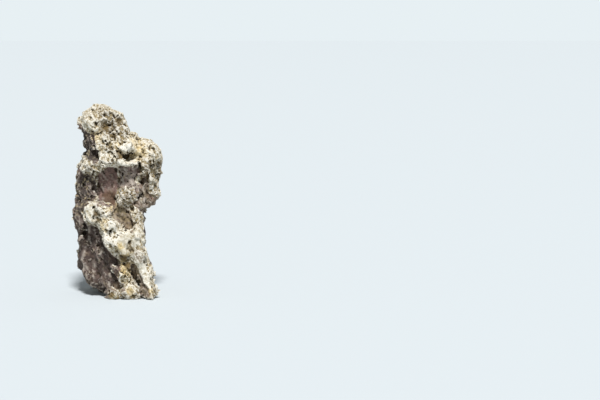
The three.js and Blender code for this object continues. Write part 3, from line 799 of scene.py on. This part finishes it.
def painted_shading(points, normals):
    """How much painted shade each point has in the deep hollows and along the drawn crevices, from 0 to 1.
    """
    most = np.zeros(len(points))
    for x, y, z, radius in SHADE_SPOTS:
        distance = np.linalg.norm((points - (x, y, z)) * SPOT_OF_SHADE["shape"], axis=1) + waves(points, SHADE_SPOT_EDGE)
        most = np.maximum(most, ramp(1 - distance / radius, *SPOT_OF_SHADE["edge"]))
    for kind in DRAWN_CREVICES.values():
        close = near_lines(kind["lines"], points, kind["shaded width"])
        most = np.maximum(most, kind["shaded"] * frontal(normals) * close)
    return most


def tinted(points, normals, amounts):
    """How much of one tint each point of the broken faces has, from 0 to 1."""
    most = np.zeros(len(points))
    ragged = waves(points, TINT_EDGE)
    for side, outlines in BROKEN_FACES.items():
        for name, outline in outlines.items():
            inside = ramp(seen_from(side, points, normals, outline) + ragged, *FACE_FADE)
            most = np.maximum(most, inside * amounts.get(name, 0.0))
    return most


points = places(stone.data)
normals = outward(stone.data)
pairs = links(stone.data)
broad_normals = unit(relax(normals, pairs, ROUNDS["broad"]))
near = relax(points, pairs, ROUNDS["near"])
far = relax(near, pairs, ROUNDS["far"])
worn = turned_patches(points, broad_normals, WORN_PATCHES)
worn = np.maximum(worn, outlined(points, broad_normals, WORN, "amount", WORN_FADE))
ribs = near_lines(RIBS["lines"], points, RIBS["width"]) * frontal(broad_normals)

paint(stone, "crust", ramp(-bareness(points, broad_normals), *CRUST_EDGE))
paint(stone, "pitted", ((near - points) * normals).sum(axis=1))
paint(stone, "hollow", ((far - points) * broad_normals).sum(axis=1))
paint(stone, "worn", worn)
paint(stone, "painted_shade", painted_shading(points, broad_normals))
paint(stone, "pale", outlined(points, broad_normals, SLABS, "pale", PALE_FADE))
paint(stone, "tone", seeds(splintered(points), BREAKS["fragments"])[0])
paint(stone, "fleck", seeds(gritty(points), BREAKS["grit"])[0])
paint(stone, "stain", np.clip(stained(points), 0, 1))
paint(stone, "rust", np.clip(rusty(points), 0, 1))
paint(stone, "ribs", ribs * patches(points, RIB_GAPS))
paint(stone, "flecked", face_roughness(points, broad_normals))
paint(stone, "calm", calmness(points, broad_normals))
for tint, amounts in TINTS.items():
    paint(stone, tint, tinted(points, broad_normals, amounts))


# The limestone's finish: dull and rough all over. Speckles and layers of colour lie one over another
# as the painted values say, the crust's on the crust and the faces' on the broken faces.
CREAM = (0.57, 0.50, 0.355)
TAN = (0.31, 0.245, 0.14)
WHITE = (0.81, 0.77, 0.68)
OLIVE = (0.31, 0.235, 0.11)
SLAB = (0.60, 0.56, 0.46)
SLAB_SHADE = (0.42, 0.37, 0.28)
OCHRE = (0.64, 0.48, 0.215)
WORN_BROWN = (0.17, 0.135, 0.095)
# Painted shade, near black, for the pits and the broad hollows.
PIT_SHADE = (0.045, 0.030, 0.017)
SHADED = (0.145, 0.094, 0.034)
PURPLE = (0.24, 0.150, 0.123)
PURPLE_DARK = (0.106, 0.066, 0.057)
GREY = (0.34, 0.29, 0.25)
BROWN = (0.31, 0.245, 0.145)
SHADOWY = (0.042, 0.034, 0.028)
STREAK = (0.46, 0.405, 0.345)
RUST = (0.102, 0.058, 0.033)
COOL = (0.47, 0.455, 0.40)
DULLNESS = 0.92
GLOSS = 0.3
GRAININESS = {"scale": 420, "detail": 8, "roughness": 0.7, "strength": 0.8, "height": 1.5 * MM}

limestone = bpy.data.materials.new("weathered limestone")
limestone.use_nodes = True
nodes = limestone.node_tree.nodes
wires = limestone.node_tree.links
shader = nodes["Principled BSDF"]
position = nodes.new("ShaderNodeTexCoord").outputs["Object"]


def value_of(name):
    """A value that was painted on the stone."""
    node = nodes.new("ShaderNodeAttribute")
    node.attribute_name = name
    return node.outputs["Fac"]


def speckle(scale, detail=4, roughness=0.6, along=1):
    """Speckles, finer the larger the scale, even or that many times longer along the rock's grain."""
    stretch = nodes.new("ShaderNodeMapping")
    stretch.vector_type = "TEXTURE"
    stretch.inputs["Rotation"].default_value = (0, math.radians(GRAIN["lean"]), 0)
    stretch.inputs["Scale"].default_value = (1, 1, along)
    wires.new(position, stretch.inputs["Vector"])
    node = nodes.new("ShaderNodeTexNoise")
    node.inputs["Scale"].default_value = scale
    node.inputs["Detail"].default_value = detail
    node.inputs["Roughness"].default_value = roughness
    wires.new(stretch.outputs["Vector"], node.inputs["Vector"])
    return node.outputs["Fac"]


def put(socket, value):
    """Wires another node's output to the socket, or sets it to a colour or a number."""
    if isinstance(value, bpy.types.NodeSocket):
        wires.new(value, socket)
    elif isinstance(value, tuple):
        socket.default_value = (*value, 1)
    else:
        socket.default_value = value


def mix(share, first, second):
    """The first colour where the share is 0, and the second where it is 1."""
    node = nodes.new("ShaderNodeMix")
    node.data_type = "RGBA"
    put(node.inputs["Factor"], share)
    put(node.inputs["A"], first)
    put(node.inputs["B"], second)
    return node.outputs["Result"]


def spread(value, none, full):
    """0 where the value is at none, 1 where it is at full, and eased between."""
    node = nodes.new("ShaderNodeMapRange")
    node.interpolation_type = "SMOOTHSTEP"
    wires.new(value, node.inputs["Value"])
    node.inputs["From Min"].default_value = none
    node.inputs["From Max"].default_value = full
    return node.outputs["Result"]


def times(first, second):
    """The product of two values."""
    node = nodes.new("ShaderNodeMath")
    node.operation = "MULTIPLY"
    put(node.inputs[0], first)
    put(node.inputs[1], second)
    return node.outputs["Value"]


def over(under, colour, where, amount):
    """That much of a colour laid over what is under it, where the mask says."""
    return mix(times(where, amount), under, colour)


crust = mix(spread(speckle(55, detail=5), none=0.38, full=0.60), TAN, CREAM)
slab = mix(spread(speckle(90, detail=6), none=0.38, full=0.60), SLAB_SHADE, SLAB)
crust = mix(value_of("calm"), crust, slab)
crust = over(crust, COOL, spread(speckle(75, detail=3), none=0.50, full=0.62), amount=0.5)
crust = over(crust, TAN, spread(value_of("tone"), none=0.55, full=0.95), amount=0.75)
crust = over(crust, WHITE, spread(value_of("tone"), none=0.35, full=0.05), amount=0.75)
crust = over(crust, TAN, spread(value_of("fleck"), none=0.60, full=0.95), amount=0.85)
crust = over(crust, WHITE, spread(value_of("fleck"), none=0.35, full=0.05), amount=0.85)
crust = mix(value_of("pale"), crust, WHITE)
patchy = spread(speckle(110, detail=5), none=0.30, full=0.55)
crust = over(crust, WORN_BROWN, value_of("worn"), amount=patchy)
# Painted highlight: near white on the crust's crests.
crust = over(crust, WHITE, spread(value_of("pitted"), none=-0.05, full=-0.45), amount=0.65)
ochre = times(spread(value_of("stain"), none=0.1, full=0.7), spread(speckle(140), none=0.25, full=0.65))
crust = over(crust, OCHRE, ochre, amount=0.8)
rugged = spread(value_of("calm"), none=0.9, full=0.3)
tanned = times(spread(speckle(260, roughness=0.7), none=0.54, full=0.64), 0.75)
crust = over(crust, TAN, tanned, amount=rugged)
dirtied = times(spread(speckle(520, detail=2), none=0.57, full=0.67), 0.8)
crust = over(crust, WORN_BROWN, dirtied, amount=rugged)
crust = over(crust, WHITE, spread(speckle(460, detail=2), none=0.44, full=0.32), amount=0.75)
# Darker olive in the shallow pits: partly the crust's own yellow tint, partly painted shade.
crust = over(crust, OLIVE, spread(value_of("pitted"), none=0.0, full=0.25), amount=0.85)
# Painted shade: near black in the deep pits and in the broad hollows.
crust = over(crust, PIT_SHADE, spread(value_of("pitted"), none=0.18, full=0.60), amount=0.92)
crust = over(crust, PIT_SHADE, spread(value_of("hollow"), none=0.8, full=2.0), amount=0.8)
# Painted shade, warm brown, in the deep hollows and along the drawn crevices.
crust = over(crust, SHADED, value_of("painted_shade"), amount=0.9)

face = mix(spread(speckle(110, detail=7, roughness=0.7), none=0.42, full=0.60), PURPLE_DARK, PURPLE)
smudges = speckle(60, roughness=0.5, along=2.5)
face = over(face, PURPLE_DARK, spread(smudges, none=0.50, full=0.60), amount=0.6)
aged = spread(speckle(60, detail=6), none=0.35, full=0.6)
face = over(face, GREY, value_of("grey"), amount=aged)
face = over(face, BROWN, value_of("brown"), amount=0.85)
# The dark tint: partly the rock's own darker colour, partly painted shade on the neck and in the leg's
# shadow.
face = over(face, SHADOWY, value_of("dark"), amount=0.9)
streaks = times(spread(speckle(210, detail=6, along=3), none=0.50, full=0.64), 0.5)
face = over(face, STREAK, streaks, amount=spread(value_of("dark"), none=1.1, full=0.3))
# Painted highlight: lighter on the faces' crests.
face = over(face, STREAK, spread(value_of("pitted"), none=-0.10, full=-0.5), amount=0.5)
flecked = times(value_of("flecked"), spread(speckle(160, detail=6, roughness=0.7), none=0.50, full=0.60))
face = over(face, TAN, flecked, amount=spread(value_of("pitted"), none=0.1, full=-0.3))
face = over(face, PURPLE_DARK, spread(value_of("fleck"), none=0.60, full=0.95), amount=0.5)
# Lighter along the ribs: partly their own paler rock, partly a painted highlight on them.
face = over(face, STREAK, value_of("ribs"), amount=0.75)
face = over(face, RUST, spread(value_of("rust"), none=0.1, full=0.6), amount=0.85)
# Painted shade in the faces' pits.
face = mix(spread(value_of("pitted"), none=0.15, full=0.55), face, PIT_SHADE)

wires.new(mix(value_of("crust"), face, crust), shader.inputs["Base Color"])
shader.inputs["Roughness"].default_value = DULLNESS
shader.inputs["Specular IOR Level"].default_value = GLOSS
bump = nodes.new("ShaderNodeBump")
bump.inputs["Strength"].default_value = GRAININESS["strength"]
bump.inputs["Distance"].default_value = GRAININESS["height"]
grains = speckle(GRAININESS["scale"], GRAININESS["detail"], GRAININESS["roughness"])
wires.new(grains, bump.inputs["Height"])
wires.new(bump.outputs["Normal"], shader.inputs["Normal"])
stone.data.materials.clear()
stone.data.materials.append(limestone)

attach(stone, "root")
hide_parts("stone")


# The floor: plain, pale and level, with nothing on it but the stone. It is only there to stand the
# stone on, and isn't part of it.
FLOOR_REACH = 30
FLOOR_COLOUR = (0.55, 0.59, 0.61, 1)
FLOOR_DULLNESS = 0.9

corners = [(x * FLOOR_REACH, y * FLOOR_REACH, 0) for x, y in ((-1, -1), (1, -1), (1, 1), (-1, 1))]
floor_mesh = bpy.data.meshes.new("floor")
floor_mesh.from_pydata(corners, [], [(0, 1, 2, 3)])
floor = bpy.data.objects.new("floor", floor_mesh)
bpy.context.scene.collection.objects.link(floor)
paper = bpy.data.materials.new("pale paper")
paper.use_nodes = True
paper.node_tree.nodes["Principled BSDF"].inputs["Base Color"].default_value = FLOOR_COLOUR
paper.node_tree.nodes["Principled BSDF"].inputs["Roughness"].default_value = FLOOR_DULLNESS
floor.data.materials.append(paper)


# The light: a soft lamp high overhead and a little in front, in a pale room. The walls light the
# stone less brightly than the backdrop behind it looks.
WALLS = {"colour": (0.82, 0.88, 0.91, 1), "strength": 0.32}
BACKDROP_COLOUR = (0.80, 0.87, 0.90, 1)
LAMP = {"softness": 10, "strength": 4.5, "tipped": (32, 6, 0)}

room = bpy.data.worlds.new("pale room")
room.use_nodes = True
walls = room.node_tree.nodes["Background"]
walls.inputs["Color"].default_value = WALLS["colour"]
walls.inputs["Strength"].default_value = WALLS["strength"]
backdrop = room.node_tree.nodes.new("ShaderNodeBackground")
backdrop.inputs["Color"].default_value = BACKDROP_COLOUR
straight_view = room.node_tree.nodes.new("ShaderNodeLightPath")
either = room.node_tree.nodes.new("ShaderNodeMixShader")
world_output = room.node_tree.nodes["World Output"]
room.node_tree.links.new(straight_view.outputs["Is Camera Ray"], either.inputs["Fac"])
room.node_tree.links.new(walls.outputs["Background"], either.inputs[1])
room.node_tree.links.new(backdrop.outputs["Background"], either.inputs[2])
room.node_tree.links.new(either.outputs["Shader"], world_output.inputs["Surface"])
bpy.context.scene.world = room
bpy.context.scene.view_settings.view_transform = "Standard"

lamp = bpy.data.lights.new("overhead lamp", "SUN")
lamp.angle = math.radians(LAMP["softness"])
lamp.energy = LAMP["strength"]
overhead = bpy.data.objects.new("overhead lamp", lamp)
overhead.rotation_euler = [math.radians(turn) for turn in LAMP["tipped"]]
bpy.context.scene.collection.objects.link(overhead)


# The camera: a long lens, a little higher than the stone's top and to the right of it, level from
# side to side and tipped down a little. The lens is in millimetres on a frame 36 mm wide.
LENS = 89.1
CAMERA_PLACE = (0.212, -1.713, 0.310)
TIPPED_DOWN = 6.68

camera = bpy.data.objects.new("camera", bpy.data.cameras.new("camera"))
camera.data.lens = LENS
camera.location = CAMERA_PLACE
camera.rotation_euler = (math.radians(90 - TIPPED_DOWN), 0, 0)
bpy.context.scene.collection.objects.link(camera)
bpy.context.scene.camera = camera
